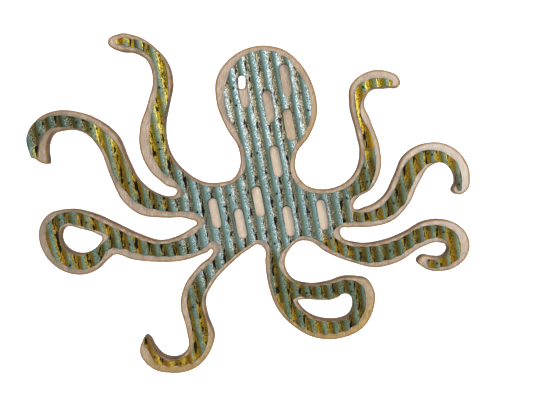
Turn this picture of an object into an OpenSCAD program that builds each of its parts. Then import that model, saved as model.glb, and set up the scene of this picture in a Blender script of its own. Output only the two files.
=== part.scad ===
// Octopus wall plaque.
// A flat octopus sawn from thin board carries a slightly smaller octopus cut
// from one corrugated metal sheet. Small nails through the ribs hold the two
// together. Ten slots in the metal show the board, and the hanging slot in the
// board lies behind the upper end of the first one.
//
// The plaque faces -Y and its back lies on the wall plane y = 0. +X is to the
// right and +Z is up. The origin is on the back face, at the centre of the
// hanging slot's upper end, where the wall hook sits.

/* [Plaque] */
// Width of the plaque, from the leftmost arm to the rightmost arm
plaque_w = 600; // [400:10:800]
// Thickness of the backing board
board_t = 9; // [8:0.5:18]

/* [Corrugated panel] */
// Distance from one rib to the next in the middle of the sheet
rib_pitch = 15.2; // [12:0.1:20]
// How much the ribs spread with each rib to the left of the middle
rib_widening = 0.1; // [0.01:0.01:0.15]
// How much they close up with each rib to the right of the middle
rib_crowding = 0.03; // [0.01:0.01:0.04]
// Rise from the bottom of a groove to the underside of a rib
rib_depth = 4; // [2:0.5:6]
// Lean of the ribs from upright, in degrees, with their tops to the left
rib_lean = 10.7; // [0:0.1:20]
// Distance from the origin to the nearest rib, square to the ribs
rib_start = 2.2; // [0:0.1:12]
// Thickness of the metal sheet
sheet_t = 0.8; // [0.5:0.1:1.2]

/* [Slots] */
// Width of a slot in the metal panel
slot_w = 12; // [8:0.5:14]
// Length of a slot in the metal panel, over its round ends
slot_len = 41; // [30:1:50]
// Width of the hanging slot through the board
hanger_w = 10; // [6:0.5:11]
// Distance between the centres of the hanging slot's round ends
hanger_drop = 11; // [4:0.5:14]

/* [Nails] */
// Diameter of a nail's head
nail_head_d = 3; // [2:0.1:4]
// Thickness of a nail's head
nail_head_t = 0.8; // [0.5:0.1:1.5]
// Diameter of a nail's shank
nail_shank_d = 1.4; // [1:0.1:1.8]
// Length of a nail below its head
nail_len = 11; // [9:0.5:12]

/* [Hidden] */

// The outlines below are drawn for a plaque of this width and scaled to fit
drawn_w = 600;
size_k = plaque_w / drawn_w;
// Straight steps that stand for one span of a smooth outline
span_steps = 4;
// Straight steps that stand for one rib and its groove
rib_steps = 8;
// Far enough to cut clear through a face
clear = 1;
// Height of the metal's crests above the wall
crest_h = board_t + rib_depth + sheet_t;

// Outline of the board, anticlockwise from the crown of the head. Arms are
// numbered from the upper left, down round the body and up to the upper right.
// Each point is [x, z].
board_edge = concat(
    // Left side of the head and neck
    [[32, 39], [5, 35], [-18, 21], [-33, -1], [-34, -31], [-20, -68], [-5, -93], [-3, -117],
     [-13, -134], [-30, -139]],
    // Arm 1, a hook at the upper left
    [[-51, -139], [-76, -126], [-97, -101], [-104, -66], [-97, -29], [-93, -9], [-99, 20],
     [-118, 42], [-142, 55], [-163, 57], [-178, 46]],
    [[-164, 36], [-144, 33], [-126, 22], [-119, 1], [-127, -34], [-138, -65], [-139, -94],
     [-126, -124], [-105, -143], [-91, -155]],
    // Arm 2, the long hook at the left
    [[-98, -158], [-119, -154], [-143, -135], [-157, -107], [-171, -75], [-195, -55],
     [-227, -43], [-259, -43], [-283, -55], [-297, -76], [-295, -95], [-286, -108], [-275, -114]],
    [[-270, -114], [-269, -109], [-270, -98], [-268, -84], [-261, -73], [-248, -69],
     [-231, -68], [-213, -74], [-196, -93],
     [-182, -130], [-164, -167], [-141, -184], [-110, -188], [-72, -190], [-63, -195]],
    // Arm 3, a closed loop at the left
    [[-70, -201], [-92, -214], [-117, -220], [-142, -213], [-177, -197], [-212, -182],
     [-245, -177], [-272, -184], [-287, -206], [-284, -236], [-266, -259]],
    [[-239, -270], [-210, -265], [-192, -249], [-181, -241], [-155, -247], [-123, -250],
     [-80, -247], [-50, -236], [-41, -233]],
    // Arm 4, a hook at the lower left
    [[-43, -238], [-62, -256], [-82, -284], [-88, -310], [-80, -348], [-79, -374],
     [-92, -388], [-112, -388], [-127, -374], [-134, -361], [-139, -358]],
    [[-144, -365], [-148, -384], [-134, -404], [-103, -412], [-70, -404], [-49, -382],
     [-41, -356], [-50, -327], [-53, -305], [-41, -279], [-15, -250]],
    // Notch under the body
    [[8, -231], [23, -224], [30, -230]],
    // Arm 5, a closed loop at the bottom
    [[31, -248], [36, -283], [48, -314], [70, -338], [101, -354], [134, -354], [162, -341],
     [179, -311], [179, -284], [168, -269]],
    [[157, -267], [138, -267], [118, -274], [91, -278], [68, -271], [58, -251], [65, -229],
     [79, -218], [90, -218]],
    // Arm 6, a curl at the lower right
    [[112, -232], [147, -246], [182, -253], [212, -244], [241, -224], [262, -218],
     [274, -224], [268, -236]],
    [[255, -237], [241, -236], [235, -243], [243, -252], [265, -257], [288, -249],
     [301, -231], [299, -209], [283, -192], [263, -187]],
    [[245, -189], [215, -206], [187, -217], [155, -220], [134, -211], [132, -202],
     [145, -199]],
    // Arm 7, a hook at the right
    [[170, -198], [201, -189], [221, -167], [234, -137], [247, -117], [263, -112],
     [277, -124], [280, -138], [277, -149]],
    [[284, -154], [295, -148], [298, -130], [286, -102], [261, -87], [233, -89],
     [213, -103], [201, -131], [187, -158], [166, -171], [149, -171]],
    // Arm 8, a hook at the upper right
    [[152, -162], [172, -147], [183, -123], [181, -91], [168, -56], [160, -33],
     [169, -19], [190, -16], [205, -12]],
    [[203, -4], [187, 5], [160, 3], [143, -11], [141, -34], [151, -74], [156, -101],
     [147, -130], [128, -144], [107, -148]],
    // Right side of the neck and head
    [[89, -144], [74, -128], [73, -101], [89, -78], [99, -50], [95, -17], [79, 13], [56, 33]]
);

// Openings in the board inside the loops of arms 3 and 5
board_loop_3 = [[-257, -214], [-252, -204], [-242, -201], [-229, -204], [-203, -212],
                [-197, -216], [-201, -225], [-215, -236], [-230, -240], [-243, -237],
                [-253, -229]];
board_loop_5 = [[76, -301], [80, -300], [106, -300], [122, -299], [130, -296], [137, -291],
                [144, -291], [149, -296], [151, -304], [150, -312], [145, -321], [136, -326],
                [120, -328], [104, -326], [89, -319], [78, -307]];

// Outline of the metal panel, point by point in the same order. It was cut by
// hand, so the strip of bare board beside it is wide in places and narrow in
// others.
panel_edge = concat(
    // Left side of the head and neck
    [[31, 32], [8, 28], [-12, 10], [-22, -15], [-21, -40], [-8, -70], [3, -95], [4, -121],
     [-7, -136], [-28, -144]],
    // Arm 1
    [[-50, -143], [-75, -129], [-98, -102], [-104, -68], [-97, -14], [-101, 18],
     [-121, 41], [-142, 49], [-158, 51], [-167, 47]],
    [[-158, 42], [-140, 38], [-117, 22], [-111, 0], [-119, -42], [-125, -78],
     [-113, -119], [-84, -145], [-79, -153], [-90, -161]],
    // Arm 2
    [[-108, -158], [-126, -151], [-149, -127], [-168, -90], [-193, -65], [-232, -50],
     [-268, -52], [-288, -64], [-295, -81], [-292, -98], [-287, -107]],
    [[-283, -107], [-281, -98], [-277, -83], [-270, -72], [-259, -66], [-240, -65],
     [-209, -73], [-189, -95],
     [-165, -146], [-141, -169], [-104, -179], [-62, -182], [-52, -190]],
    // Arm 3
    [[-60, -204], [-89, -219], [-120, -224], [-151, -214], [-194, -195], [-230, -181],
     [-262, -187], [-277, -211], [-268, -242], [-249, -258]],
    [[-226, -262], [-205, -255], [-182, -231], [-172, -231], [-142, -239], [-96, -241],
     [-58, -233], [-34, -221], [-30, -226]],
    // Arm 4
    [[-37, -241], [-66, -271], [-78, -299], [-72, -347], [-73, -377], [-92, -390],
     [-114, -390], [-127, -375], [-133, -361], [-138, -359]],
    [[-141, -365], [-135, -380], [-121, -397], [-93, -400], [-66, -391], [-50, -363], [-51, -331],
     [-57, -310], [-47, -279], [-16, -244]],
    // Notch under the body
    [[6, -227], [24, -217], [35, -223]],
    // Arm 5
    [[37, -239], [41, -283], [58, -318], [91, -343], [127, -346], [155, -333],
     [168, -300], [162, -277]],
    [[146, -270], [117, -277], [86, -279], [58, -266], [50, -247], [63, -224], [82, -211]],
    // Arm 6
    [[98, -215], [124, -231], [172, -246], [204, -239], [239, -217], [264, -212],
     [275, -223], [265, -238]],
    [[257, -241], [246, -243], [248, -249], [266, -251], [285, -241], [290, -221], [277, -200],
     [257, -194]],
    [[238, -197], [206, -215], [168, -224], [135, -219], [123, -207], [131, -196]],
    // Arm 7
    [[160, -191], [191, -186], [214, -167], [227, -134], [246, -113], [268, -116],
     [280, -134], [281, -146]],
    [[284, -149], [287, -142], [285, -123], [266, -101], [236, -97], [215, -113], [202, -146],
     [184, -170], [158, -178], [143, -172]],
    // Arm 8
    [[144, -163], [168, -146], [176, -120], [170, -80], [155, -38], [163, -20],
     [183, -15], [194, -13]],
    [[195, -9], [187, -6], [169, -5], [150, -15], [149, -43], [160, -86], [160, -112], [145, -141],
     [124, -151], [101, -153]],
    // Right side of the neck and head
    [[82, -148], [67, -129], [67, -100], [87, -67], [91, -31], [76, 2], [53, 26]]
);

// Openings in the metal inside the loops of arms 3 and 5
panel_loop_3 = [[-258, -212], [-254, -202], [-245, -197], [-228, -200], [-208, -206],
                [-192, -210], [-187, -215], [-191, -221], [-204, -230], [-216, -238],
                [-230, -242], [-243, -238], [-254, -228]];
panel_loop_5 = [[70, -299], [75, -296], [92, -297], [110, -297], [123, -296], [130, -293],
                [137, -289], [144, -289], [150, -296], [152, -304], [151, -312], [146, -321],
                [136, -327], [120, -329], [96, -326], [80, -314], [71, -304]];

// Centres of the slots: five down the head and neck, five across the body
slots = [[3, -20], [58, -6], [36, -39], [63, -63], [46, -111],
         [22, -165], [-37, -181], [-2, -195], [63, -191], [108, -182]];

// Nails, grouped by the part of the octopus that they hold. Each one is driven
// through the rib nearest to its point.
nail_groups = [
    ["head", [[-12, -16], [-8, -38], [86, -45]]],
    ["body", [[19, -100], [45, -154], [138, -159], [-17, -156], [-55, -178], [44, -221],
              [118, -213]]],
    ["arm_1", [[-108, -14], [-115, -86], [-112, -95]]],
    ["arm_2", [[-283, -76], [-219, -58], [-208, -68], [-153, -140], [-111, -170]]],
    ["arm_3", [[-263, -193], [-211, -194], [-233, -254], [-152, -224], [-86, -225]]],
    ["arm_4", [[-65, -311], [-125, -386], [-92, -395]]],
    ["arm_5", [[146, -275], [148, -285], [87, -289], [77, -322]]],
    ["arm_6", [[266, -203], [259, -245], [197, -229]]],
    ["arm_7", [[247, -102], [285, -140], [200, -165]]],
    ["arm_8", [[157, -16], [163, -119], [165, -137]]]
];

// Direction of a smooth ring at point b, between its neighbours a and c. It is
// the tangent of the circle through the three.
function heading(a, b, c) =
    let (
        before = (b - a) / ((b - a) * (b - a)),
        after = (c - b) / ((c - b) * (c - b)),
        both = before + after
    )
    both / norm(both);

// Point at fraction t of the span from b to c. Each end's pull makes a span
// that bends evenly follow an arc.
function on_span(b, c, start_dir, end_dir, t) =
    let (
        chord = norm(c - b),
        start_pull = 2 * chord / (1 + start_dir * (c - b) / chord),
        end_pull = 2 * chord / (1 + end_dir * (c - b) / chord)
    )
    (2 * t^3 - 3 * t^2 + 1) * b + (t^3 - 2 * t^2 + t) * start_pull * start_dir
    + (3 * t^2 - 2 * t^3) * c + (t^3 - t^2) * end_pull * end_dir;

// Closed smooth curve through the points of a ring, scaled to the plaque
function smooth_ring(ring) =
    let (n = len(ring), at = function (i) ring[(i + n) % n] * size_k)
    [for (i = [0 : n - 1], k = [0 : span_steps - 1])
        on_span(
            at(i), at(i + 1),
            heading(at(i - 1), at(i), at(i + 1)),
            heading(at(i), at(i + 1), at(i + 2)),
            k / span_steps
        )];

// Distance from the origin, square to the ribs, of a place counted in ribs,
// and the whole rib nearest to such a distance
function rib_drift(side) = side < 0 ? -rib_widening : rib_crowding;
function rib_at(place) = rib_start + place * (rib_pitch - rib_drift(place) * abs(place));
function nearest_rib(across) =
    let (
        beyond = across - rib_start,
        drift = rib_drift(beyond),
        gap = rib_pitch - sqrt(rib_pitch^2 - 4 * drift * abs(beyond))
    )
    sign(beyond) * round(gap / (2 * drift));

// Moves a point of the drawing square to the ribs, onto the nearest crest
rib_across = [cos(rib_lean), sin(rib_lean)];
function on_rib(p) =
    let (across = p * size_k * rib_across)
    p * size_k + (rib_at(nearest_rib(across)) - across) * rib_across;

// Height of the sheet's underside above the board, at a place counted in ribs.
// Crests and groove bottoms come out as narrow flats.
function sheet_rise(place) = rib_depth / 2 * (1 + cos(360 * place) / cos(180 / rib_steps));

// Stands a drawing in the X-Y plane up, to face -Y
module upright() rotate([90, 0, 0]) children();

module obround(len, width) {
    square([width, len - width], center = true);
    for (side = [-1, 1])
        translate([0, side * (len - width) / 2])
            circle(d = width, $fn = 48);
}

module board_shape() {
    difference() {
        polygon(smooth_ring(board_edge));
        polygon(smooth_ring(board_loop_3));
        polygon(smooth_ring(board_loop_5));
        translate([0, -hanger_drop / 2])
            obround(hanger_drop + hanger_w, hanger_w);
    }
}

module panel_shape() {
    difference() {
        polygon(smooth_ring(panel_edge));
        polygon(smooth_ring(panel_loop_3));
        polygon(smooth_ring(panel_loop_5));
        for (p = slots)
            translate(p * size_k)
                rotate(rib_lean)
                    obround(slot_len, slot_w);
    }
}

// Whole corrugated sheet before it is cut, lying on the board
module corrugated_sheet() {
    last = ceil(0.75 * plaque_w / rib_pitch) * rib_steps;
    under = [for (i = [-last : last])
        let (place = (i + 0.5) / rib_steps)
        [rib_at(place), board_t + sheet_rise(place)]];
    over = [for (i = [len(under) - 1 : -1 : 0]) under[i] + [0, sheet_t]];
    rotate([0, 0, rib_lean])
        rotate([90, 0, 0])
            linear_extrude(2 * plaque_w, center = true)
                polygon(concat(under, over));
}

// One nail standing on its point, with the underside of its head at z = 0
module nail() {
    r = nail_shank_d / 2;
    rotate_extrude($fn = 24)
        polygon([
            [0, -nail_len], [r, -nail_len + 2 * r], [r, 0], [nail_head_d / 2, 0],
            [nail_head_d / 2, nail_head_t / 2], [nail_head_d / 3, nail_head_t], [0, nail_head_t]
        ]);
}

module nails(points) {
    for (p = points)
        translate([each on_rib(p), crest_h])
            nail();
}

module all_nails() {
    for (g = nail_groups)
        nails(g[1]);
}

module backing_board() {
    color("tan")
        upright()
            difference() {
                linear_extrude(board_t) board_shape();
                all_nails();
            }
}

module corrugated_panel() {
    color("cadetblue")
        upright()
            difference() {
                intersection() {
                    corrugated_sheet();
                    linear_extrude(crest_h + clear) panel_shape();
                }
                all_nails();
            }
}

module nail_group(points) {
    color("dimgray")
        upright()
            nails(points);
}

backing_board();
corrugated_panel();
for (g = nail_groups)
    nail_group(g[1]);
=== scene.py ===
"""The looks of an octopus wall plaque.

A sawn board carries a smaller octopus cut from distressed corrugated metal, held on by small
blackened nails. The plaque faces -Y, its back lies on y = 0, and +Z is up. All sizes are in metres.
"""

import math
import random

import bmesh
import bpy
import numpy as np
from mathutils import Matrix, Vector, kdtree, noise
from mathutils.geometry import delaunay_2d_cdt


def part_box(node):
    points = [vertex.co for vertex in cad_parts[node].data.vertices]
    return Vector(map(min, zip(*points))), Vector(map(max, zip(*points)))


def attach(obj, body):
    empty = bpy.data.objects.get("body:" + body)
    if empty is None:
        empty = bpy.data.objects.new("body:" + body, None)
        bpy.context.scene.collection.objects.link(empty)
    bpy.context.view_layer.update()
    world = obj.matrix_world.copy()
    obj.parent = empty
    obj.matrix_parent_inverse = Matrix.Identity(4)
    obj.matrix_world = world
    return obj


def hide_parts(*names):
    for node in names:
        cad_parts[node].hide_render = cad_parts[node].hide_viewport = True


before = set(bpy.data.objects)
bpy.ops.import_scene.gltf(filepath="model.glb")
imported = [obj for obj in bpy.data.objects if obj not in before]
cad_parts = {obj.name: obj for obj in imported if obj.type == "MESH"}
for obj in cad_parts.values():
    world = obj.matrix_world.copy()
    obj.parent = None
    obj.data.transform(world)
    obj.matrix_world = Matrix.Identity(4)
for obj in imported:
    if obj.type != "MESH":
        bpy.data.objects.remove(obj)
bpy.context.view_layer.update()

MM = 0.001

# The ribs of the metal sheet, as in part.scad
RIB_PITCH = 15.2 * MM
RIB_WIDENING = 0.1 * MM
RIB_CROWDING = 0.03 * MM
RIB_START = 2.2 * MM
RIB_LEAN = math.radians(10.7)
SHEET_T = 0.8 * MM

# Both follow from the frame
BOARD_T = -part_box("backing_board")[0].y
CREST_H = -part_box("corrugated_panel")[0].y
RIB_DEPTH = CREST_H - BOARD_T - SHEET_T

# How finely the pieces are meshed. RIB_COLUMNS is the number of columns of points on one rib
OUTLINE_STEP = 1.2 * MM
RIB_COLUMNS = 14
ROW_STEP = 2.2 * MM
BOARD_STEP = 4.0 * MM
SHARP_TURN = math.radians(40)
NAIL_SIDES = 20

# An opening smaller than the first is a nail hole, and one larger than the second is the gap
# inside the loop of an arm. The panel's slots lie between them
NAIL_HOLE_AREA = 20 * MM ** 2
SLOT_AREA = 600 * MM ** 2

# How far the board's rounded rims reach down its sides, and how far its nail pockets stop short
# of its back
EASE = 0.4 * MM
POCKET_FLOOR = 2.2 * MM

# How far the nail heads are sunk below the tops of the ribs
NAIL_SUNK = 0.15 * MM

# Places where the arms' grooves are more golden (share above 0) or darker (below 0) than
# elsewhere: x, z and reach in millimetres, and the share
GILT_SPOTS = [
    (-160, 48, 14, 1.5), (-100, 30, 26, 0.8), (-108, -25, 34, 0.9), (-118, -80, 36, 0.8),
    (-300, -82, 15, -0.9), (-288, -104, 14, 0.9), (-244, -58, 32, -0.9), (-192, -78, 20, 0.9),
    (-168, -125, 34, 0.9), (-262, -228, 26, 0.7), (-205, -196, 22, 0.7), (-226, -252, 20, 0.5),
    (-150, -224, 26, 0.3), (-124, -386, 34, 1.9), (-84, -390, 20, 1.2), (-60, -335, 22, 0.4),
    (36, -322, 28, 0.4), (100, -338, 26, 0.4), (120, -226, 22, 0.5), (268, -232, 26, 0.6),
    (166, -178, 24, 0.5), (220, -118, 22, 0.6), (268, -108, 18, 0.5), (172, -12, 24, 0.6),
    (152, -36, 14, 1.9), (158, -62, 15, 1.6), (165, -86, 18, 1.5),
]


# ---------------------------------------------------------------- camera


def add_camera():
    """Stands about half a metre off, a little right of the middle and above it."""
    lens = bpy.data.cameras.new("camera")
    lens.lens = 27.02
    lens.sensor_width = 36.0
    camera = bpy.data.objects.new("camera", lens)
    bpy.context.scene.collection.objects.link(camera)
    camera.location = (0.0641, -0.544, -0.1089)
    aim = Vector((0.0323, 0.0, -0.1634))
    camera.rotation_euler = (aim - camera.location).to_track_quat("-Z", "Y").to_euler()
    bpy.context.scene.camera = camera


# ---------------------------------------------------------------- shaders


def tone(red, green, blue):
    """A colour given as 0 to 255 screen values, as the linear colour that shaders take."""
    def linear(value):
        share = value / 255
        return share / 12.92 if share <= 0.04045 else ((share + 0.055) / 1.055) ** 2.4

    return (linear(red), linear(green), linear(blue), 1.0)


class Finish:
    """A material under construction, with short calls for the nodes used here."""

    def __init__(self, name):
        self.material = bpy.data.materials.new(name)
        self.material.use_nodes = True
        self.tree = self.material.node_tree
        self.surface = self.tree.nodes["Principled BSDF"]

    def feed(self, socket, value):
        if isinstance(value, bpy.types.NodeSocket):
            self.tree.links.new(value, socket)
        else:
            socket.default_value = value

    def set(self, **inputs):
        for name, value in inputs.items():
            self.feed(self.surface.inputs[name.replace("_", " ")], value)

    def node(self, kind, **settings):
        node = self.tree.nodes.new("ShaderNode" + kind)
        for name, value in settings.items():
            setattr(node, name, value)
        return node

    def calc(self, operation, *values, clamp=False):
        node = self.node("Math", operation=operation, use_clamp=clamp)
        for socket, value in zip(node.inputs, values):
            self.feed(socket, value)
        return node.outputs[0]

    def times(self, *values):
        product = values[0]
        for value in values[1:]:
            product = self.calc("MULTIPLY", product, value)
        return product

    def mix(self, share, first, second):
        node = self.node("Mix", data_type="RGBA")
        self.feed(node.inputs[0], share)
        self.feed(node.inputs[6], first)
        self.feed(node.inputs[7], second)
        return node.outputs[2]

    def ramp(self, value, stops):
        node = self.node("ValToRGB")
        elements = node.color_ramp.elements
        while len(elements) < len(stops):
            elements.new(0.5)
        for element, (place, colour) in zip(elements, stops):
            element.position = place
        for element, (place, colour) in zip(elements, stops):
            element.color = colour
        self.feed(node.inputs[0], value)
        return node.outputs[0]

    def step(self, value, low, high):
        """Rises smoothly from 0 at low to 1 at high."""
        node = self.node("MapRange", interpolation_type="SMOOTHSTEP", clamp=True)
        self.feed(node.inputs["Value"], value)
        node.inputs["From Min"].default_value = low
        node.inputs["From Max"].default_value = high
        return node.outputs["Result"]

    def band(self, value, low, high, soft):
        """1 between low and high, fading to 0 over soft beyond them."""
        rise = self.step(value, low - soft, low)
        fall = self.step(value, high + soft, high)
        return self.calc("MULTIPLY", rise, fall)

    def attribute(self, name):
        return self.node("Attribute", attribute_name=name).outputs["Fac"]

    def place(self):
        return self.node("TexCoord").outputs["Object"]

    def scaled(self, vector, sizes, turn=0.0):
        """vector in units of sizes, after a turn about Y."""
        node = self.node("Mapping")
        self.feed(node.inputs["Vector"], vector)
        node.inputs["Rotation"].default_value = (0.0, turn, 0.0)
        node.inputs["Scale"].default_value = [1 / size for size in sizes]
        return node.outputs[0]

    def noise(self, vector, detail=2.0, roughness=0.5, distortion=0.0):
        """Cloudy noise with features about 1 unit of vector across."""
        node = self.node("TexNoise")
        self.feed(node.inputs["Vector"], vector)
        node.inputs["Scale"].default_value = 1.0
        node.inputs["Detail"].default_value = detail
        node.inputs["Roughness"].default_value = roughness
        node.inputs["Distortion"].default_value = distortion
        return node.outputs["Fac"]

    def bump(self, height, distance, strength=1.0):
        node = self.node("Bump")
        node.inputs["Strength"].default_value = strength
        node.inputs["Distance"].default_value = distance
        self.feed(node.inputs["Height"], height)
        self.feed(self.surface.inputs["Normal"], node.outputs[0])


# The paint across one rib, as place and screen colour: 0 and 1 are on a crest, 0.5 in a groove.
# The ramps also hold painted light: the right-hand flanks, which face the light, are painted
# lighter as painted highlight, and the left-hand flanks darker as painted shade
RIB_COLOURS = {
    "head": [
        (0.00, 94, 122, 118), (0.10, 100, 130, 132), (0.22, 120, 146, 150), (0.32, 138, 146, 142),
        (0.40, 144, 136, 114), (0.50, 130, 120, 90), (0.60, 106, 100, 74), (0.72, 92, 98, 80),
        (0.84, 82, 102, 92), (1.00, 94, 122, 118)],
    "body": [
        (0.00, 93, 121, 117), (0.12, 99, 129, 130), (0.24, 106, 129, 132), (0.31, 112, 123, 122),
        (0.38, 96, 96, 86), (0.48, 92, 90, 75), (0.60, 94, 96, 79), (0.74, 98, 108, 92),
        (0.86, 90, 110, 100), (1.00, 93, 121, 117)],
    "limb": [
        (0.00, 70, 90, 78), (0.10, 78, 100, 90), (0.22, 84, 100, 80), (0.32, 92, 90, 50),
        (0.40, 104, 94, 46), (0.52, 92, 80, 28), (0.66, 80, 62, 6), (0.78, 78, 68, 20),
        (0.90, 70, 76, 46), (1.00, 70, 90, 78)],
    "gold": [
        (0.00, 88, 106, 88), (0.10, 100, 120, 102), (0.20, 110, 124, 84), (0.26, 142, 130, 40),
        (0.32, 186, 162, 8), (0.42, 182, 150, 4), (0.54, 168, 140, 12), (0.68, 140, 118, 12),
        (0.78, 122, 108, 22), (0.88, 88, 92, 50), (1.00, 88, 106, 88)],
    "leaf": [
        (0.00, 150, 122, 10), (0.12, 184, 154, 12), (0.24, 224, 198, 40), (0.33, 212, 174, 6),
        (0.43, 182, 142, 0), (0.56, 146, 108, 0), (0.70, 124, 92, 0), (0.86, 122, 94, 6),
        (1.00, 150, 122, 10)],
}


class PanelPaint(Finish):
    """Distressed paint that follows the ribs: teal crests, black blotches, and grooves in
    gold, olive or beige."""

    def __init__(self):
        super().__init__("panel_paint")
        # What the mesh says of each place
        self.arm = self.attribute("arm")
        self.low = self.attribute("low")
        self.gilt = self.attribute("gilt")
        # Noise fields, drawn out along the ribs
        self.streaks = self.rib_noise((3.0, 9, 12), 5.0, 0.68)
        self.patches = self.rib_noise((8, 16, 15), 5.0, 0.68)
        self.speckle = self.rib_noise((1.5, 2, 2.0), 2.0, 0.85)
        self.blots = self.rib_noise((4.5, 9, 15), 4.0, 0.60, 0.4)
        # 0 and 1 on a crest, 0.5 in a groove, with ragged borders
        wander = self.calc("MULTIPLY_ADD", self.streaks, 0.34, -0.17)
        self.across = self.calc("ADD", self.calc("FRACT", self.attribute("rib_place")), wander)
        self.groove = self.band(self.across, 0.30, 0.66, 0.05)
        # Where the arms' grooves are gold, and where gold covers the crests too
        ochre = self.calc("MULTIPLY_ADD", self.gilt, 0.50, self.patches)
        self.gilded = self.step(ochre, 0.55, 0.66)
        leafed = self.calc("MULTIPLY_ADD", self.patches, 1.6, self.gilt)
        self.covered = self.step(leafed, 1.75, 1.95)

    def rib_noise(self, sizes, *character):
        """Noise with features of those sizes in millimetres: across the ribs, deep and along."""
        sizes = [size * MM for size in sizes]
        return self.noise(self.scaled(self.place(), sizes, RIB_LEAN), *character)

    def rib_colour(self, name):
        stops = [(place, tone(*colour)) for place, *colour in RIB_COLOURS[name]]
        return self.ramp(self.across, stops)

    def coat(self):
        """The paint itself: head, body and arms, and the arms' gold and dark places."""
        trunk = self.mix(self.low, self.rib_colour("head"), self.rib_colour("body"))
        limb = self.mix(self.gilded, self.rib_colour("limb"), self.rib_colour("gold"))
        limb = self.mix(self.covered, limb, self.rib_colour("leaf"))
        foot = self.calc("MAXIMUM", self.band(self.across, 0.24, 0.86, 0.06), self.covered)
        amber = self.times(self.low, self.gilded, foot)
        limb = self.mix(self.calc("MULTIPLY", amber, 0.65), limb, tone(112, 74, 2))
        colour = self.mix(self.arm, trunk, limb)
        gloom = self.calc("MULTIPLY", self.gilt, -0.5, clamp=True)
        return self.mix(gloom, colour, tone(44, 46, 30))

    def speckled(self, colour):
        """Silver speckle on the right-hand flanks, part silver paint and part painted highlight,
        and chalk and pepper in the grooves.
        """
        flank = self.band(self.across, 0.15, 0.31, 0.12)
        # How strongly silver and chalk show: strong on the head, weaker on the body, faint on the
        # arms; for the silver, that fall-off is painted highlight following the light
        limb_share = self.times(self.arm, self.calc("MULTIPLY_ADD", self.low, 0.12, 0.80))
        sparse = self.calc("MAXIMUM", self.calc("MULTIPLY", self.low, 0.55), limb_share)
        lively = self.calc("SUBTRACT", 1.0, sparse)
        silver_and_highlight = self.times(flank, self.step(self.speckle, 0.52, 0.60), lively)
        colour = self.mix(self.calc("MULTIPLY", silver_and_highlight, 0.95), colour, tone(226, 240, 246))
        chalk = self.times(self.groove, self.step(self.speckle, 0.54, 0.62), lively)
        colour = self.mix(self.calc("MULTIPLY", chalk, 0.85), colour, tone(224, 214, 192))
        cracked = self.calc("MULTIPLY_ADD", self.times(self.arm, self.groove), 0.045, 0.46)
        pepper = self.step(self.calc("SUBTRACT", cracked, self.speckle), 0.0, 0.07)
        pepper = self.times(self.band(self.across, 0.10, 0.80, 0.10), pepper)
        return self.mix(self.calc("MULTIPLY", pepper, 0.85), colour, tone(34, 32, 20))

    def painted_highlight_line(self, colour):
        """A painted highlight: a bright ragged line where the colour of a crest ends, at the foot
        of the right-hand flank that faces the light.
        """
        line = self.times(self.band(self.across, 0.290, 0.325, 0.020),
                          self.step(self.patches, 0.42, 0.56), self.step(self.streaks, 0.40, 0.50))
        gold_highlight = self.mix(self.low, tone(255, 246, 120), tone(190, 154, 40))
        pale = self.mix(self.times(self.arm, self.gilded), tone(206, 214, 206), gold_highlight)
        plain = self.calc("SUBTRACT", 1.0, self.gilded)
        ends = self.calc("SUBTRACT", 1.0, self.times(self.arm, plain))
        share = self.times(self.calc("MAXIMUM", self.low, self.gilded), ends)
        share = self.calc("MULTIPLY_ADD", share, 0.75, 0.05)
        weaker = self.calc("MULTIPLY_ADD", self.times(self.arm, self.low), -0.4, 1.0)
        return self.mix(self.times(line, self.times(share, weaker)), colour, pale)

    def flakes(self):
        """Black flakes down the right-hand foot of each rib."""
        ragged = self.calc("MULTIPLY_ADD", self.speckle, 0.16, self.blots)
        ragged = self.calc("MULTIPLY_ADD", self.times(self.arm, self.low), 0.018, ragged)
        crowd = self.calc("MAXIMUM", self.calc("MULTIPLY", self.arm, 0.4), self.low)
        flakes = self.step(self.calc("MULTIPLY_ADD", crowd, 0.022, ragged), 0.630, 0.645)
        return self.times(self.band(self.across, 0.34, 0.56, 0.05), flakes)

    def slot_shadow_and_worn_edges(self, colour):
        """A dark painted shadow round the rims of the slots, and bare worn metal along the cut
        edge.
        """
        slot_shadow = self.times(self.attribute("slot_rim"), 0.9)
        colour = self.mix(slot_shadow, colour, tone(24, 20, 16))
        worn = self.times(self.step(self.attribute("edge_distance"), 1.2 * MM, 0.2 * MM),
                          self.step(self.streaks, 0.40, 0.55))
        return self.mix(self.calc("MULTIPLY", worn, 0.5), colour, tone(70, 66, 52))


def panel_paint():
    paint = PanelPaint()
    flakes = paint.flakes()
    # Painted highlight: the bright crest lines and part of the silver speckle
    colour = paint.painted_highlight_line(paint.speckled(paint.coat()))
    colour = paint.slot_shadow_and_worn_edges(paint.mix(flakes, colour, tone(11, 10, 7)))
    rough = paint.calc("MULTIPLY_ADD", paint.speckle, 0.5, 0.22)
    rough = paint.calc("MULTIPLY_ADD", paint.groove, 0.15, rough)
    spread = paint.calc("MAXIMUM", paint.arm, paint.low)
    gloss = paint.calc("MULTIPLY_ADD", spread, -0.16, 0.22)
    paint.set(Base_Color=colour, Roughness=rough, Specular_IOR_Level=gloss)
    relief = paint.calc("MULTIPLY_ADD", paint.streaks, 0.5, paint.speckle)
    paint.bump(paint.calc("SUBTRACT", relief, flakes), 0.30 * MM, 0.8)
    return paint.material


def cut_metal():
    """Bare cut edges and the unpainted back of the sheet."""
    finish = Finish("cut_metal")
    spot = finish.place()
    cloud = finish.noise(finish.scaled(spot, (2.5 * MM,) * 3), 4.0, 0.65)
    colour = finish.ramp(cloud, [
        (0.35, tone(64, 60, 52)), (0.55, tone(104, 98, 84)), (0.75, tone(140, 120, 84))])
    rough = finish.calc("MULTIPLY_ADD", cloud, 0.3, 0.3)
    finish.set(Base_Color=colour, Roughness=rough, Metallic=0.6)
    finish.bump(cloud, 0.1 * MM, 0.5)
    return finish.material


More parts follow.
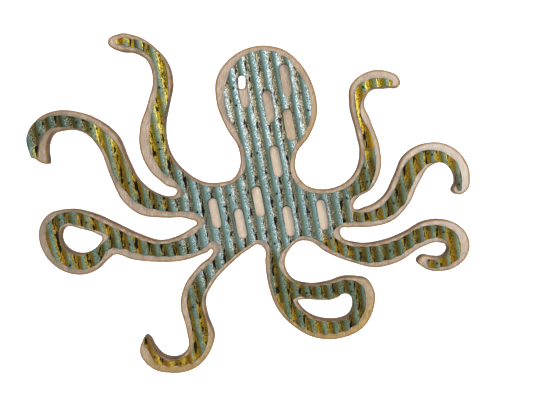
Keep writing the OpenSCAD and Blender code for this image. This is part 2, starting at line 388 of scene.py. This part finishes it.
def board_face():
    """Pale fibrous wood-based board with a fine upright grain and a golden-brown rim."""
    finish = Finish("board_face")
    spot = finish.place()
    edge = finish.attribute("edge_distance")
    warm = finish.attribute("warm")
    grain_lean = math.radians(4)
    fibre = finish.noise(finish.scaled(spot, (0.9 * MM, 1 * MM, 9 * MM), grain_lean), 4.0, 0.72)
    broad = finish.noise(finish.scaled(spot, (12 * MM, 9 * MM, 40 * MM), grain_lean), 3.0, 0.5)
    fleck = finish.noise(finish.scaled(spot, (1.4 * MM, 1 * MM, 2.4 * MM)), 3.0, 0.7)
    colour = finish.ramp(fibre, [
        (0.30, tone(92, 70, 52)), (0.40, tone(134, 113, 95)), (0.51, tone(160, 142, 124)),
        (0.66, tone(192, 178, 162))])
    clouded = finish.times(finish.step(broad, 0.42, 0.64), 0.45)
    colour = finish.mix(clouded, colour, tone(140, 121, 102))
    tan = finish.ramp(fibre, [
        (0.30, tone(86, 58, 14)), (0.40, tone(124, 95, 38)), (0.51, tone(150, 120, 56)),
        (0.66, tone(182, 154, 92))])
    colour = finish.mix(finish.times(warm, 0.8), colour, tan)
    # Painted shade, darker towards the left end of the board
    colour = finish.mix(finish.times(finish.attribute("dim"), 0.36), colour, tone(84, 72, 50))
    flecked = finish.times(finish.step(fleck, 0.56, 0.68), 0.5)
    colour = finish.mix(flecked, colour, tone(92, 68, 48))
    bleached = finish.times(finish.attribute("bleached"), 0.35)
    colour = finish.mix(bleached, colour, tone(204, 200, 194))
    # Painted light: the wood under the panel, seen through its slots, is painted paler so that the
    # slots look less shaded
    sheltered = finish.times(finish.attribute("sheltered"), 0.40)
    colour = finish.mix(sheltered, colour, tone(222, 206, 186))
    rim = finish.step(edge, 2.9 * MM, 0.6 * MM)
    patchy = finish.calc("MULTIPLY_ADD", fleck, 1.3, 0.25)
    rim = finish.calc("MULTIPLY", rim, patchy, clamp=True)
    colour = finish.mix(rim, colour, tone(124, 90, 40))
    finish.set(Base_Color=colour, Roughness=finish.calc("MULTIPLY_ADD", fibre, 0.2, 0.70))
    finish.bump(finish.calc("ADD", fibre, finish.calc("MULTIPLY", fleck, 0.5)), 0.2 * MM, 0.8)
    return finish.material


def board_side():
    """Sawn side of the board, browned by the cutting, with fine marks across it."""
    finish = Finish("board_side")
    spot = finish.place()
    marks = finish.noise(finish.scaled(spot, (0.6 * MM, 14 * MM, 0.6 * MM)), 4.0, 0.7)
    scorch = finish.noise(finish.scaled(spot, (18 * MM, 8 * MM, 18 * MM)), 4.0, 0.6)
    colour = finish.ramp(marks, [
        (0.3, tone(62, 42, 24)), (0.5, tone(92, 65, 38)), (0.7, tone(126, 92, 54))])
    colour = finish.mix(finish.step(scorch, 0.44, 0.66), colour, tone(48, 32, 19))
    finish.set(Base_Color=colour, Roughness=finish.calc("MULTIPLY_ADD", marks, 0.2, 0.62))
    finish.bump(marks, 0.12 * MM, 0.7)
    return finish.material


def blackened_steel():
    """Dark nail heads with a little rust."""
    finish = Finish("blackened_steel")
    spot = finish.place()
    rust = finish.noise(finish.scaled(spot, (0.9 * MM,) * 3), 4.0, 0.6)
    colour = finish.ramp(rust, [
        (0.40, tone(16, 15, 14)), (0.60, tone(30, 27, 24)), (0.78, tone(66, 46, 30))])
    rough = finish.calc("MULTIPLY_ADD", rust, 0.3, 0.34)
    finish.set(Base_Color=colour, Roughness=rough, Metallic=0.6)
    finish.bump(rust, 0.08 * MM, 0.6)
    return finish.material


def studio_paper():
    """Near-white backdrop paper, lit from within a little so that it stays free of shadow."""
    finish = Finish("studio_paper")
    cloud = finish.noise(finish.scaled(finish.place(), (0.4,) * 3), 2.0)
    colour = finish.ramp(cloud, [(0.3, tone(247, 247, 246)), (0.7, tone(252, 252, 252))])
    finish.set(Base_Color=colour, Roughness=0.9, Emission_Color=colour)
    finish.surface.inputs["Emission Strength"].default_value = 0.75
    return finish.material


# ---------------------------------------------------------------- outlines


def rim_loops(node):
    """Closed outlines, as arrays of (x, z), where a CAD node's front meets its side walls.

    The cone at the end of a nail pocket meets its wall in the same way, so each pocket of the
    board gives two outlines.
    """
    weld = 0.02 * MM
    fewest_points = 9
    # Limits for the y of a face's normal, on the front and on a side wall
    facing_front, upright = -0.2, 0.02
    mesh = bmesh.new()
    mesh.from_mesh(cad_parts[node].data)
    bmesh.ops.remove_doubles(mesh, verts=mesh.verts, dist=weld)
    mesh.normal_update()
    beside = {}
    for edge in mesh.edges:
        tilts = sorted(face.normal.y for face in edge.link_faces)
        if len(tilts) == 2 and tilts[0] < facing_front and abs(tilts[1]) < upright:
            first, second = edge.verts
            beside.setdefault(first, []).append(second)
            beside.setdefault(second, []).append(first)
    # A sliver of a face can leave a short gap: join each loose end to the nearest other one
    loose = [vert for vert in beside if len(beside[vert]) == 1]
    loose.sort(key=lambda vert: vert.index)
    while len(loose) > 1:
        vert = loose.pop()
        mate = min(loose, key=lambda other: (other.co - vert.co).length)
        loose.remove(mate)
        beside[vert].append(mate)
        beside[mate].append(vert)
    loops = []
    left_over = set(beside)
    for start in sorted(beside, key=lambda vert: vert.index):
        chain = []
        vert = start
        while vert is not None and vert in left_over:
            left_over.discard(vert)
            chain.append((vert.co.x, vert.co.z))
            ahead = [other for other in beside[vert] if other in left_over]
            vert = ahead[0] if ahead else None
        if len(chain) >= fewest_points:
            loops.append(np.array(chain))
    mesh.free()
    return sorted(loops, key=lambda loop: -len(loop))


def corners(loop):
    """The points of a closed outline that aren't in line with their neighbours."""
    slack = 0.012 * MM
    kept = [loop[0]]
    for here, after in zip(loop[1:], np.roll(loop, -1, axis=0)[1:]):
        along, gap = after - kept[-1], here - kept[-1]
        if abs(along[0] * gap[1] - along[1] * gap[0]) >= slack * np.hypot(*along):
            kept.append(here)
    return np.array(kept)


def turns(points):
    """How far a closed outline turns at each of its points, in radians."""
    into = points - np.roll(points, 1, axis=0)
    out = np.roll(points, -1, axis=0) - points
    cross = into[:, 0] * out[:, 1] - into[:, 1] * out[:, 0]
    return np.abs(np.arctan2(cross, np.sum(into * out, axis=1)))


def curve(points, step, closed):
    """A smooth curve through a row or a ring of points, in equal steps of about that length."""
    if closed:
        padded = np.concatenate([points[-1:], points, points[:2]])
    else:
        padded = np.concatenate([points[:1], points, points[-1:]])
    fine = []
    for a, b, c, d in zip(padded, padded[1:], padded[2:], padded[3:]):
        for share in np.linspace(0, 1, 8, endpoint=False):
            square, cube = share ** 2, share ** 3
            fine.append(0.5 * (2 * b + (c - a) * share + (2 * a - 5 * b + 4 * c - d) * square
                               + (3 * b - a - 3 * c + d) * cube))
    fine = np.array(fine + [padded[-2]])
    lengths = np.concatenate([[0], np.cumsum(np.hypot(*np.diff(fine, axis=0).T))])
    steps = max(24 if closed else 2, round(lengths[-1] / step))
    marks = np.linspace(0, lengths[-1], steps, endpoint=False)
    return np.stack([np.interp(marks, lengths, fine[:, k]) for k in (0, 1)], axis=1)


def smooth_outline(loop, step):
    """The outline as a smooth closed curve through its points, broken only at sharp corners."""
    points = corners(loop)
    sharp = np.flatnonzero(turns(points) > SHARP_TURN)
    if len(sharp) == 0:
        return curve(points, step, closed=True)
    points = np.roll(points, -sharp[0], axis=0)
    cuts = list(sharp - sharp[0]) + [len(points)]
    around = np.concatenate([points, points[:1]])
    stretches = [around[start:end + 1] for start, end in zip(cuts, cuts[1:])]
    return np.concatenate([curve(stretch, step, closed=False) for stretch in stretches])


def signed_area(loop):
    """The area inside an outline, positive when it runs anticlockwise."""
    ahead = np.roll(loop, -1, axis=0)
    return 0.5 * np.sum(loop[:, 0] * ahead[:, 1] - ahead[:, 0] * loop[:, 1])


def outlines(node, step):
    """Smooth outlines of a node: the outer one anticlockwise, then its openings clockwise."""
    loops = [smooth_outline(loop, step) for loop in rim_loops(node)]
    loops.sort(key=lambda loop: -abs(signed_area(loop)))
    turned = []
    for i, loop in enumerate(loops):
        wants_positive = i == 0
        turned.append(loop if (signed_area(loop) > 0) == wants_positive else loop[::-1])
    return turned


def outward(loop):
    """Unit vectors that point away from the material at each point of an outline."""
    along = np.roll(loop, -1, axis=0) - np.roll(loop, 1, axis=0)
    along /= np.maximum(np.hypot(along[:, 0], along[:, 1]), 1e-12)[:, None]
    return np.stack([along[:, 1], -along[:, 0]], axis=1)


def inside(points, loops):
    """Which points lie within the outer outline and outside its openings."""
    starts = np.concatenate(loops)
    ends = np.concatenate([np.roll(loop, -1, axis=0) for loop in loops])
    rise = ends[:, 1] - starts[:, 1]
    rise[rise == 0] = 1e-15
    result = np.zeros(len(points), bool)
    chunk = 2000
    for at in range(0, len(points), chunk):
        x, z = (points[at:at + chunk, k][:, None] for k in (0, 1))
        spans = (starts[:, 1] > z) != (ends[:, 1] > z)
        meets = starts[:, 0] + (z - starts[:, 1]) / rise * (ends[:, 0] - starts[:, 0])
        result[at:at + chunk] = (np.sum(spans & (x < meets), axis=1) % 2).astype(bool)
    return result


def tree_of(points):
    """A search tree of (x, z) points."""
    tree = kdtree.KDTree(len(points))
    for i, (x, z) in enumerate(points):
        tree.insert((x, 0.0, z), i)
    tree.balance()
    return tree


def distances(points, tree):
    """How far each (x, z) point is from the nearest one in a tree."""
    return np.array([tree.find((x, 0.0, z))[2] for x, z in points])


def fill(loops, grid, margin):
    """Points and triangles that fill the region between outlines, outlines' points first.

    Grid points within margin of an outline's points are left out.
    """
    tree = tree_of(np.concatenate(loops))
    grid = grid[inside(grid, loops)]
    grid = grid[distances(grid, tree) > margin]
    points = np.concatenate(loops + [grid])
    edges = []
    first = 0
    for loop in loops:
        count = len(loop)
        edges += [(first + i, first + (i + 1) % count) for i in range(count)]
        first += count
    flat = [Vector((float(x), float(z))) for x, z in points]
    verts, _, faces, origins, _, _ = delaunay_2d_cdt(flat, edges, [], 0, 1e-9)
    where = [origin[0] if origin else -1 for origin in origins]
    found = np.array([[where[i] for i in face] for face in faces if len(face) == 3])
    found = found[(found >= 0).all(axis=1)]
    middles = points[found].mean(axis=1)
    found = found[inside(middles, loops)]
    a, b, c = (points[found[:, k]] for k in range(3))
    turn = (b[:, 0] - a[:, 0]) * (c[:, 1] - a[:, 1]) - (b[:, 1] - a[:, 1]) * (c[:, 0] - a[:, 0])
    found[turn < 0] = found[turn < 0][:, ::-1]
    return points, found


def make_piece(name, verts, faces, materials, finishes):
    """A mesh object from points and faces. finishes says which material each face takes."""
    mesh = bpy.data.meshes.new(name)
    verts = [tuple(map(float, vert)) for vert in verts]
    faces = [tuple(map(int, face)) for face in faces]
    mesh.from_pydata(verts, [], faces)
    for material in materials:
        mesh.materials.append(material)
    mesh.polygons.foreach_set("material_index", np.array(finishes, np.int32))
    mesh.polygons.foreach_set("use_smooth", np.ones(len(faces), bool))
    mesh.update()
    piece = bpy.data.objects.new(name, mesh)
    bpy.context.scene.collection.objects.link(piece)
    return piece


def add_attributes(piece, **layers):
    """Values for each of a piece's vertices, which its shader reads by name."""
    for name, values in layers.items():
        layer = piece.data.attributes.new(name, "FLOAT", "POINT")
        layer.data.foreach_set("value", np.array(values, np.float32))


def soften(value, low, high):
    """Rises smoothly from 0 at low to 1 at high."""
    share = np.clip((value - low) / (high - low), 0, 1)
    return share * share * (3 - 2 * share)


def wobble(points, size, seed):
    """Smooth noise from -1 to 1 at (x, z) points, with features about size across."""
    return np.array([noise.noise(Vector((x / size, seed, z / size))) for x, z in points])


def level(flat, y):
    """(x, z) points as (x, y, z) points, with one y for all of them or one for each."""
    return np.stack([flat[:, 0], np.broadcast_to(y, len(flat)), flat[:, 1]], axis=1)


def side_faces(rings, levels):
    """Quads down the side walls, from front to back.

    The points of all rings lie in one row, which each level repeats. levels holds, for each
    ring, the indices at which its levels' rows start.
    """
    quads = []
    first = 0
    for ring, starts in zip(rings, levels):
        size = len(ring)
        for i in range(size):
            a, b = first + i, first + (i + 1) % size
            for upper, lower in zip(starts, starts[1:]):
                quads.append((upper + a, lower + a, lower + b, upper + b))
        first += size
    return quads


# ---------------------------------------------------------------- corrugated panel


def rib_drift(side):
    """How fast the ribs close up on that side of the first rib; they spread to its left."""
    return np.where(side < 0, -RIB_WIDENING, RIB_CROWDING)


def rib_frame(points):
    """Place across the ribs, counted in ribs from the first, and distance along them."""
    across = points[:, 0] * math.cos(RIB_LEAN) + points[:, 1] * math.sin(RIB_LEAN)
    along = points[:, 1] * math.cos(RIB_LEAN) - points[:, 0] * math.sin(RIB_LEAN)
    gap = across - RIB_START
    drift = rib_drift(gap)
    root = np.sqrt(np.maximum(RIB_PITCH ** 2 - 4 * drift * np.abs(gap), 0))
    return np.sign(gap) * (RIB_PITCH - root) / (2 * drift), along


def rib_grid(loops):
    """Points in columns along the ribs, close enough to carry their round shape."""
    place, along = rib_frame(np.concatenate(loops))
    leftmost = math.floor(place.min() * RIB_COLUMNS)
    rightmost = math.ceil(place.max() * RIB_COLUMNS)
    columns = np.arange(leftmost, rightmost + 1) / RIB_COLUMNS
    rows = np.arange(along.min(), along.max(), ROW_STEP)
    across = RIB_START + columns * (RIB_PITCH - rib_drift(columns) * np.abs(columns))
    u, v = np.meshgrid(across, rows)
    v = v + np.where(np.arange(len(columns)) % 2, ROW_STEP / 2, 0)[None, :]
    u, v = u.ravel(), v.ravel()
    return np.stack([u * math.cos(RIB_LEAN) - v * math.sin(RIB_LEAN),
                     u * math.sin(RIB_LEAN) + v * math.cos(RIB_LEAN)], axis=1)


def nail_places():
    """Name of each nail node, and the (x, z) of each of its nails."""
    weld = 0.001 * MM
    places = {}
    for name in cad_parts:
        if not name.startswith("nails_"):
            continue
        mesh = bmesh.new()
        mesh.from_mesh(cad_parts[name].data)
        bmesh.ops.remove_doubles(mesh, verts=mesh.verts, dist=weld)
        left_over = set(mesh.verts)
        found = []
        while left_over:
            island = []
            queue = [min(left_over, key=lambda vert: vert.index)]
            left_over.discard(queue[0])
            while queue:
                vert = queue.pop()
                island.append(vert.co)
                for edge in vert.link_edges:
                    other = edge.other_vert(vert)
                    if other in left_over:
                        left_over.discard(other)
                        queue.append(other)
            xs, zs = [co.x for co in island], [co.z for co in island]
            found.append(((min(xs) + max(xs)) / 2, (min(zs) + max(zs)) / 2))
        mesh.free()
        places[name] = sorted(found)
    return places


def gilding(points):
    """How golden the grooves are: -1 for nearly black, 1 for bright gold, 2 for gold all over."""
    total = np.zeros(len(points))
    for x, z, reach, share in GILT_SPOTS:
        gap = np.hypot(points[:, 0] - x * MM, points[:, 1] - z * MM) / (reach * MM)
        total += share * np.exp(-gap ** 2)
    return np.clip(total, -1, 2)


def slot_rim(points, slots, slot_edge):
    """How dark the painted shadow at the rims of the slots is, where the cut edge and the gap under
    the sheet lie in shade: most at their upper ends and left sides.
    """
    rim_width = 1.3 * MM
    middles = np.array([(loop.min(axis=0) + loop.max(axis=0)) / 2 for loop in slots])
    middle_tree = tree_of(middles)
    nearest = middles[[middle_tree.find((x, 0.0, z))[1] for x, z in points]]
    gap = points - nearest
    share = np.clip(0.35 + (0.6 * gap[:, 1] - gap[:, 0]) / (14 * MM), 0.1, 1)
    return share * np.exp(-(slot_edge / rim_width) ** 2)


def arms_and_lower_part(points):
    """How much each point belongs to the arms and not the body, and how much to the lower part,
    which is made less down the middle of the body as painted highlight.

    The body lies along a line from its top, at z = 0, down to body_foot.
    """
    body_foot = -190 * MM
    axis_z = np.clip(points[:, 1], body_foot, 0.0)
    axis_x = 32 * MM - 0.05 * axis_z
    from_body = np.hypot(points[:, 0] - axis_x, points[:, 1] - axis_z)
    from_body += 1.2 * np.maximum(body_foot - points[:, 1], 0) * soften(points[:, 0], -40 * MM, 0)
    from_body -= 28 * MM * soften(-points[:, 0], 0, 60 * MM)
    arm = soften(from_body + wobble(points, 40 * MM, 1.0) * 12 * MM, 72 * MM, 118 * MM)
    low = soften(-points[:, 1] + wobble(points, 50 * MM, 2.0) * 15 * MM, 70 * MM, 130 * MM)
    # Less down the middle of the body: painted highlight, with brighter head paint and more silver
    # speckle where the light falls most
    low *= 0.7 + 0.3 * soften(np.abs(points[:, 0] - 20 * MM), 20 * MM, 60 * MM)
    return arm, low


def build_panel(nails):
    """The corrugated sheet: round ribs, small dents, pressed-in slot rims and rounded cut edges."""
    round_over = 0.16 * MM
    raggedness = 0.16 * MM
    loops = outlines("corrugated_panel", OUTLINE_STEP)
    rough = [loop + outward(loop) * (wobble(loop, 2.6 * MM, 3.0) * raggedness)[:, None]
             for loop in loops]
    inner = [loop - outward(loop) * round_over for loop in rough]
    points, faces = fill(inner, rib_grid(loops), 0.55 * MM)
    place, _ = rib_frame(points)
    edge = distances(points, tree_of(np.concatenate(inner)))
    slots = [loop for loop in inner[1:] if NAIL_HOLE_AREA < abs(signed_area(loop)) < SLOT_AREA]
    slot_edge = distances(points, tree_of(np.concatenate(slots)))
    nail_gap = distances(points, tree_of([spot for group in nails.values() for spot in group]))

    rise = RIB_DEPTH / 2 * (1 + np.cos(2 * math.pi * place))
    rise += wobble(points, 30 * MM, 7.0) * 0.30 * MM + wobble(points, 9 * MM, 9.0) * 0.12 * MM
    # Dents under the nail heads and round the slots; the sheet never sinks into the board
    rise -= 0.45 * MM * np.exp(-(nail_gap / (3.4 * MM)) ** 2)
    rise -= 0.30 * MM * np.exp(-(slot_edge / (0.8 * MM)) ** 2)
    rise = np.maximum(rise, 0.04 * MM)
    front = -(BOARD_T + SHEET_T + rise)

    count = len(points)
    rings = np.concatenate(rough)
    rim_count = len(rings)
    top = level(points, front)
    back = top + (0, SHEET_T, 0)
    wall_top = level(rings, front[:rim_count] + round_over)
    wall_low = wall_top + (0, SHEET_T - 2 * round_over, 0)
    verts = np.concatenate([top, back, wall_top, wall_low])
    levels = (0, 2 * count, 2 * count + rim_count, count)
    quads = side_faces(rough, [levels] * len(rough))
    front_faces = [tuple(face) for face in faces]
    back_faces = [tuple(face[::-1] + count) for face in faces]
    every = front_faces + back_faces + quads
    finishes = [0] * len(front_faces) + [1] * (len(back_faces) + len(quads))
    panel = make_piece("painted_panel", verts, every, [panel_paint(), cut_metal()], finishes)

    # The front's point that each vertex takes its values from
    index = np.concatenate([np.arange(count)] * 2 + [np.arange(rim_count)] * 2)
    arm, low = arms_and_lower_part(points)
    add_attributes(panel, rib_place=place[index], arm=arm[index], low=low[index],
                   gilt=gilding(points)[index], edge_distance=edge[index],
                   slot_rim=slot_rim(points, slots, slot_edge)[index])
    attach(panel, "root")
    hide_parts("corrugated_panel")


# ---------------------------------------------------------------- board


def chip_depths(loops, dice):
    """How deep each outline's rim is chipped at each of its points. Nail pockets stay whole."""
    spacing = 26 * MM
    most_pocket_points = 60
    chips = []
    for loop in loops:
        count = len(loop)
        depth = np.zeros(count)
        for _ in range(round(count * OUTLINE_STEP / spacing)):
            centre = dice.uniform(0, count)
            width = dice.uniform(0.8, 2.4)
            size = dice.uniform(0.2, 1.2) * MM
            gap = np.abs((np.arange(count) - centre + count / 2) % count - count / 2)
            depth = np.maximum(depth, size * np.exp(-(gap / width) ** 2))
        chips.append(depth if count > most_pocket_points else np.zeros(count))
    return chips


def board_grid(loops):
    """Rows of points over the whole board, every other row half a step along."""
    everything = np.concatenate(loops)
    low, high = everything.min(axis=0), everything.max(axis=0)
    xs, zs = np.meshgrid(np.arange(low[0], high[0], BOARD_STEP),
                         np.arange(low[1], high[1], BOARD_STEP))
    xs = xs + (np.arange(len(xs)) % 2)[:, None] * BOARD_STEP / 2
    return np.stack([xs.ravel(), zs.ravel()], axis=1)


def weathering_and_shade(points):
    """Where the board is golden or bleached, and where painted shade darkens it towards its left
    end, each from 0 to 1.
    """
    waves = wobble(points, 60 * MM, 4.0) * 40 * MM
    rightward = np.minimum(points[:, 0], 40 * MM)
    warm = soften(waves + 0.5 * rightward - points[:, 1], 270 * MM, 360 * MM)
    # A second golden place beside the body, on its right
    cheek = np.hypot((points[:, 0] - 85 * MM) / (25 * MM), (points[:, 1] + 60 * MM) / (60 * MM))
    warm = np.maximum(warm, 0.6 * np.exp(-cheek ** 2))
    # Painted shade that darkens the board towards its left end
    dim = soften(waves - points[:, 0], 190 * MM, 290 * MM)
    bleached = soften(waves + points[:, 0], 140 * MM, 260 * MM)
    bleached *= soften(points[:, 1], -260 * MM, -160 * MM)
    return warm, dim, bleached


def build_board():
    """The sawn board: rounded and chipped rims, saw marks on the sides, blind nail pockets
    and a flat back."""
    dice = random.Random(5)
    round_over = 0.5 * MM
    wall_levels = 5
    loops = outlines("backing_board", OUTLINE_STEP)
    pockets = [abs(signed_area(loop)) < NAIL_HOLE_AREA for loop in loops]
    chips = chip_depths(loops, dice)
    saw = [loop + outward(loop) * (wobble(loop, 1.7 * MM, 5.0) * 0.10 * MM
                                   + wobble(loop, 14 * MM, 6.0) * 0.18 * MM)[:, None]
           for loop in loops]
    inner = [loop - outward(loop) * (round_over + chip)[:, None] for loop, chip in zip(saw, chips)]
    points, faces = fill(inner, board_grid(loops), 1.3 * MM)
    count = len(points)
    rings, chip = np.concatenate(saw), np.concatenate(chips)
    rim_count = len(rings)

    top_y = -BOARD_T + EASE + 0.8 * chip
    low_y = np.concatenate([np.full(len(loop), -POCKET_FLOOR if pocket else -EASE)
                            for loop, pocket in zip(saw, pockets)])
    walls = [level(rings, top_y + (low_y - top_y) * share)
             for share in np.linspace(0, 1, wall_levels)]
    face_y = np.full(count, -BOARD_T)
    face_y[rim_count:] += np.abs(wobble(points[rim_count:], 12 * MM, 8.0)) * 0.05 * MM
    verts = np.concatenate([level(points, face_y), level(points, 0.0)] + walls)

    # A pocket's wall ends at its floor, and the back is closed behind it
    starts = [0] + [2 * count + rim_count * i for i in range(wall_levels)] + [count]
    quads = side_faces(saw, [starts[:-1] if pocket else starts for pocket in pockets])
    floors, plugs = [], []
    first = 0
    for loop, pocket in zip(saw, pockets):
        ring = range(first, first + len(loop))
        if pocket:
            floors.append([starts[-2] + i for i in reversed(ring)])
            plugs.append([count + i for i in ring])
        first += len(loop)
    front_faces = [tuple(face) for face in faces]
    back_faces = [tuple(face[::-1] + count) for face in faces]
    flat = front_faces + back_faces + plugs
    sides = quads + floors
    finishes = [0] * len(flat) + [1] * len(sides)
    board = make_piece("sawn_board", verts, flat + sides, [board_face(), board_side()], finishes)

    # The front's point that each vertex takes its values from
    index = np.concatenate([np.arange(count)] * 2 + [np.arange(rim_count)] * wall_levels)
    open_rims = [loop for loop, pocket in zip(inner, pockets) if not pocket]
    edge = distances(points, tree_of(np.concatenate(open_rims)))
    warm, dim, bleached = weathering_and_shade(points)
    # Painted light on the wood that the panel covers, seen through its slots, most in the body; on
    # the front only
    sheltered = inside(points, outlines("corrugated_panel", OUTLINE_STEP)[:1])
    sheltered = sheltered * (0.2 + 0.8 * soften(-points[:, 1], 60 * MM, 120 * MM))
    sheltered = np.where(np.arange(len(index)) < count, sheltered[index], 0)
    add_attributes(board, edge_distance=edge[index], warm=warm[index], dim=dim[index],
                   bleached=bleached[index], sheltered=sheltered)
    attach(board, "root")
    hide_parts("backing_board")


# ---------------------------------------------------------------- nails


def nail_profile(node):
    """(radius, height) down one nail, from the middle of its domed head to its point."""
    low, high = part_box(node)
    length = high.y - low.y
    head_r, head_t, shank_r = 1.5 * MM, 0.8 * MM, 0.7 * MM
    dome = [(head_r * math.sin(a), head_t * (0.45 + 0.55 * math.cos(a)))
            for a in np.linspace(0.25, math.pi / 2, 5)]
    return [(0.0, head_t)] + dome + [(head_r * 0.96, 0.0), (shank_r, -0.02 * MM),
                                     (shank_r, head_t - length + 2 * shank_r),
                                     (0.0, head_t - length)]


def nail_points(profile, size, lobe_turn):
    """A nail's points about its own axis, ring by ring. Its head has three faint lobes."""
    lobe_depth = 0.05
    shank_limit = 1 * MM
    points = []
    for radius, height in profile:
        if radius == 0.0:
            points.append(Vector((0, -height, 0)))
            continue
        for i in range(NAIL_SIDES):
            angle = 2 * math.pi * i / NAIL_SIDES
            lobes = lobe_depth * math.sin(3 * angle + lobe_turn) * (radius > shank_limit)
            ragged = 1 + lobes
            points.append(Vector((radius * size * ragged * math.cos(angle), -height,
                                  radius * size * ragged * math.sin(angle))))
    return points


def nail_faces(first, rings):
    """Faces of a nail whose points start at first: a fan at each end and quads between."""
    faces = []
    last = first + 1 + (rings - 1) * NAIL_SIDES
    for i in range(NAIL_SIDES):
        after = (i + 1) % NAIL_SIDES
        faces.append((first, first + 1 + i, first + 1 + after))
        for ring in range(rings - 1):
            a = first + 1 + ring * NAIL_SIDES
            b = a + NAIL_SIDES
            faces.append((a + i, b + i, b + after, a + after))
        faces.append((last + i, last + NAIL_SIDES, last + after))
    return faces


def build_nails(nails):
    """Each region's nails: domed heads, each driven a little differently."""
    dice = random.Random(11)
    steel = blackened_steel()
    turn_per_metre = 900
    head_depth = 0.1 * MM
    for name in sorted(nails):
        profile = nail_profile(name)
        verts, faces = [], []
        for x, z in nails[name]:
            lean = dice.uniform(0, 0.12)
            hinge = Vector((math.cos(dice.uniform(0, 6.28)), 0, 1)).normalized()
            tilt = Matrix.Rotation(lean, 3, hinge)
            size = dice.uniform(0.95, 1.08)
            faces += nail_faces(len(verts), len(profile) - 2)
            place = Vector((x, -CREST_H + NAIL_SUNK, z))
            # Only the head leans, because the shank stays in its pocket
            for point in nail_points(profile, size, x * turn_per_metre):
                verts.append((tilt @ point if point.y < head_depth else point) + place)
        driven = name.replace("nails", "driven_nails")
        group = make_piece(driven, verts, faces, [steel], [0] * len(faces))
        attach(group, "root")
        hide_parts(name)


# ---------------------------------------------------------------- studio


def build_studio():
    """A pale floor that curves up into a backdrop, far enough off to take no shadow."""
    floor_z, wall_y, bend, half, front, top = -0.95, 2.4, 0.9, 4.5, -3.5, 3.4
    profile = [(front, floor_z)]
    profile += [(wall_y - bend + bend * math.sin(a), floor_z + bend - bend * math.cos(a))
                for a in np.linspace(0, math.pi / 2, 17)]
    profile.append((wall_y, top))
    verts = [(x, y, z) for x in (-half, half) for y, z in profile]
    count = len(profile)
    faces = [(i, i + 1, count + i + 1, count + i) for i in range(count - 1)]
    paper = make_piece("studio_paper", verts, faces, [studio_paper()], [0] * len(faces))


def add_light(name, place, aim, size, power, colour=(1, 1, 1)):
    """A rectangular lamp of that width and height that faces its aim."""
    lamp = bpy.data.lights.new(name, "AREA")
    lamp.shape = "RECTANGLE"
    lamp.size, lamp.size_y = size
    lamp.energy = power
    lamp.color = colour
    light = bpy.data.objects.new(name, lamp)
    bpy.context.scene.collection.objects.link(light)
    light.location = place
    light.rotation_euler = (Vector(aim) - Vector(place)).to_track_quat("-Z", "Y").to_euler()


def light_studio():
    """Three soft lamps and a pale world."""
    middle = (0.0, 0.0, -0.17)
    add_light("key_right", (1.2, -0.9, 0.5), middle, (0.35, 0.6), 12, (1.0, 0.99, 0.97))
    add_light("top", (0.1, -0.55, 1.2), middle, (0.5, 0.3), 16)
    add_light("front", (0.1, -2.2, 0.1), middle, (1.0, 1.0), 14)
    world = bpy.data.worlds.new("studio")
    bpy.context.scene.world = world
    world.use_nodes = True
    background = world.node_tree.nodes["Background"]
    background.inputs["Color"].default_value = (1, 1, 1, 1)
    background.inputs["Strength"].default_value = 0.29
    bpy.context.scene.view_settings.view_transform = "Standard"


add_camera()
build_studio()
light_studio()
nails = nail_places()
build_board()
build_panel(nails)
build_nails(nails)
